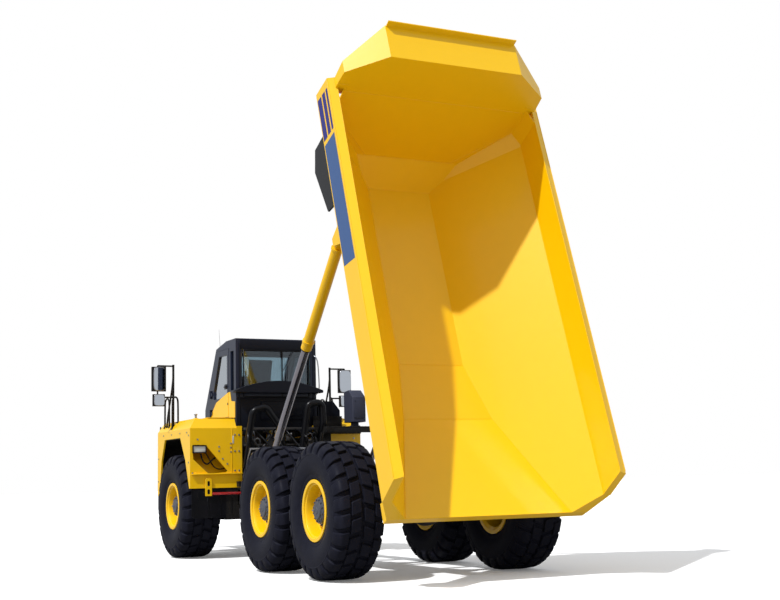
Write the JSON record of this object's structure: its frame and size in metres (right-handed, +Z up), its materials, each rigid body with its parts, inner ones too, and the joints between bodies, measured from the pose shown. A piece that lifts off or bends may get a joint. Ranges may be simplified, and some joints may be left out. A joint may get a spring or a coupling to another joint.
{
  "type": "articulated dump truck",
  "caption": "Articulated off-road dump truck: tractor with cab and hood, rolling and steering hitch, bogie frame, and a tipped dump body held up by telescopic hoists.",
  "frame": {"origin": "on the ground under the middle of the overall length and width, body tipped", "axes": "+X ahead towards the hood, +Y to the driver's left, +Z up"},
  "size_m": [11.3908, 3.8, 7.0209],
  "materials": {
    "body_yellow": "glossy",
    "hood_yellow": "glossy",
    "cab_paint": "satin",
    "frame_paint": "satin",
    "exhaust_paint": "matt",
    "tyre_rubber": "matt",
    "flap_rubber": "matt",
    "rod_chrome": "polished",
    "axle_iron": "rough",
    "engine_iron": "rough",
    "window_glass": "clear",
    "seat_fabric": "woven",
    "trim_plastic": "grained"
  },
  "bodies": {
    "rear_frame": {"rear_frame": "frame_paint", "middle_axle": "axle_iron", "rear_axle": "axle_iron", "equaliser_beams": "frame_paint", "drive_shafts": "frame_paint"},
    "hitch": {"hitch_yoke": "frame_paint"},
    "tractor": {"front_frame": "frame_paint", "front_axle": "axle_iron", "engine_block": "engine_iron", "front_bumper": "frame_paint", "cab_shell": "cab_paint", "cab_glass": "window_glass", "cab_fittings": "trim_plastic", "driver_seat": "seat_fabric", "fender_left": "body_yellow", "fender_right": "body_yellow", "steps": "frame_paint", "mirrors": "frame_paint", "handrails": "frame_paint", "rear_deck": "frame_paint", "exhaust_box": "exhaust_paint", "air_cleaner": "trim_plastic", "belly_tank": "frame_paint", "hoses": "flap_rubber"},
    "hood": {"hood": "hood_yellow"},
    "cab_door": {"cab_door": "cab_paint", "door_glass": "window_glass"},
    "dump_body": {"bed_floor": "body_yellow", "bed_side_left": "body_yellow", "bed_side_right": "body_yellow", "headboard": "body_yellow", "mudguards": "flap_rubber"},
    "front_wheel_left": {"rim_front_left": "body_yellow", "tyre_front_left": "tyre_rubber"},
    "middle_wheel_left": {"rim_middle_left": "body_yellow", "tyre_middle_left": "tyre_rubber"},
    "rear_wheel_left": {"rim_rear_left": "body_yellow", "tyre_rear_left": "tyre_rubber"},
    "hoist_barrel_left": {"hoist_barrel_left": "body_yellow"},
    "hoist_stage_left": {"hoist_stage_left": "rod_chrome"},
    "hoist_rod_left": {"hoist_rod_left": "rod_chrome"},
    "steering_barrel_left": {"steering_barrel_left": "frame_paint"},
    "steering_rod_left": {"steering_rod_left": "rod_chrome"},
    "front_wheel_right": {"rim_front_right": "body_yellow", "tyre_front_right": "tyre_rubber"},
    "middle_wheel_right": {"rim_middle_right": "body_yellow", "tyre_middle_right": "tyre_rubber"},
    "rear_wheel_right": {"rim_rear_right": "body_yellow", "tyre_rear_right": "tyre_rubber"},
    "hoist_barrel_right": {"hoist_barrel_right": "body_yellow"},
    "hoist_stage_right": {"hoist_stage_right": "rod_chrome"},
    "hoist_rod_right": {"hoist_rod_right": "rod_chrome"},
    "steering_barrel_right": {"steering_barrel_right": "frame_paint"},
    "steering_rod_right": {"steering_rod_right": "rod_chrome"}
  },
  "joints": [
    {"name": "hitch_roll", "type": "hinge", "parent": "rear_frame", "child": "hitch", "pos_m": [1.48538, 0, 0.985], "axis": [1, 0, 0], "range_deg": [-15, 15]},
    {"name": "steering", "type": "hinge", "parent": "hitch", "child": "tractor", "pos_m": [1.48538, 0, 0.985], "axis": [0, 0, 1], "range_deg": [-45, 45]},
    {"name": "hood_tilt", "type": "hinge", "parent": "tractor", "child": "hood", "pos_m": [5.49038, 0, 1.395], "axis": [0, 1, 0], "range_deg": [0, 65]},
    {"name": "cab_door_swing", "type": "hinge", "parent": "tractor", "child": "cab_door", "pos_m": [3.37538, 0.764, 2.9], "axis": [0, 0, -1], "range_deg": [0, 62]},
    {"name": "body_lowering", "type": "hinge", "parent": "rear_frame", "child": "dump_body", "pos_m": [-4.16462, 0, 1.584], "axis": [0, 1, 0], "range_deg": [0, 72]},
    {"name": "front_wheel_left_roll", "type": "hinge", "parent": "tractor", "child": "front_wheel_left", "pos_m": [2.93538, 1.3, 0.875], "axis": [0, 1, 0], "continuous": true},
    {"name": "middle_wheel_left_roll", "type": "hinge", "parent": "rear_frame", "child": "middle_wheel_left", "pos_m": [-1.41462, 1.3, 0.875], "axis": [0, 1, 0], "continuous": true},
    {"name": "rear_wheel_left_roll", "type": "hinge", "parent": "rear_frame", "child": "rear_wheel_left", "pos_m": [-3.38462, 1.3, 0.875], "axis": [0, 1, 0], "continuous": true},
    {"name": "hoist_left_swing", "type": "hinge", "parent": "dump_body", "child": "hoist_barrel_left", "pos_m": [-2.7, 0.855, 4.52537], "axis": [0, 1, 0], "range_deg": [-104.1, 0]},
    {"name": "hoist_left_stage", "type": "slide", "parent": "hoist_barrel_left", "child": "hoist_stage_left", "axis": [0.6845, 0, -0.729], "range_m": [-1.7105, 0]},
    {"name": "hoist_left_rod", "type": "slide", "parent": "hoist_stage_left", "child": "hoist_rod_left", "axis": [0.6845, 0, -0.729], "range_m": [-1.7105, 0]},
    {"name": "steering_left_swing", "type": "hinge", "parent": "tractor", "child": "steering_barrel_left", "pos_m": [2.43538, 0.6, 0.985], "axis": [0, 0, 1], "range_deg": [-3.2, 3.2]},
    {"name": "steering_left_rod", "type": "slide", "parent": "steering_barrel_left", "child": "steering_rod_left", "axis": [-0.988, -0.1546, 0], "range_m": [-0.3245, 0.3245]},
    {"name": "front_wheel_right_roll", "type": "hinge", "parent": "tractor", "child": "front_wheel_right", "pos_m": [2.93538, -1.3, 0.875], "axis": [0, 1, 0], "continuous": true},
    {"name": "middle_wheel_right_roll", "type": "hinge", "parent": "rear_frame", "child": "middle_wheel_right", "pos_m": [-1.41462, -1.3, 0.875], "axis": [0, 1, 0], "continuous": true},
    {"name": "rear_wheel_right_roll", "type": "hinge", "parent": "rear_frame", "child": "rear_wheel_right", "pos_m": [-3.38462, -1.3, 0.875], "axis": [0, 1, 0], "continuous": true},
    {"name": "hoist_right_swing", "type": "hinge", "parent": "dump_body", "child": "hoist_barrel_right", "pos_m": [-2.7, -0.855, 4.52537], "axis": [0, 1, 0], "range_deg": [-104.1, 0]},
    {"name": "hoist_right_stage", "type": "slide", "parent": "hoist_barrel_right", "child": "hoist_stage_right", "axis": [0.6845, 0, -0.729], "range_m": [-1.7105, 0]},
    {"name": "hoist_right_rod", "type": "slide", "parent": "hoist_stage_right", "child": "hoist_rod_right", "axis": [0.6845, 0, -0.729], "range_m": [-1.7105, 0]},
    {"name": "steering_right_swing", "type": "hinge", "parent": "tractor", "child": "steering_barrel_right", "pos_m": [2.43538, -0.6, 0.985], "axis": [0, 0, 1], "range_deg": [-3.2, 3.2]},
    {"name": "steering_right_rod", "type": "slide", "parent": "steering_barrel_right", "child": "steering_rod_right", "axis": [-0.988, 0.1546, 0], "range_m": [-0.3245, 0.3245]}
  ],
  "couplings": [
    {"joint": "hoist_left_swing", "follows": "body_lowering", "ratio": -1.4453},
    {"joint": "hoist_left_stage", "follows": "body_lowering", "m_per_rad": -1.3606},
    {"joint": "hoist_left_rod", "follows": "body_lowering", "m_per_rad": -1.3606},
    {"joint": "steering_left_swing", "follows": "steering", "ratio": -0.0694},
    {"joint": "steering_left_rod", "follows": "steering", "m_per_rad": -0.41196},
    {"joint": "hoist_right_swing", "follows": "body_lowering", "ratio": -1.4453},
    {"joint": "hoist_right_stage", "follows": "body_lowering", "m_per_rad": -1.3606},
    {"joint": "hoist_right_rod", "follows": "body_lowering", "m_per_rad": -1.3606},
    {"joint": "steering_right_swing", "follows": "steering", "ratio": -0.0694},
    {"joint": "steering_right_rod", "follows": "steering", "m_per_rad": 0.41196}
  ]
}
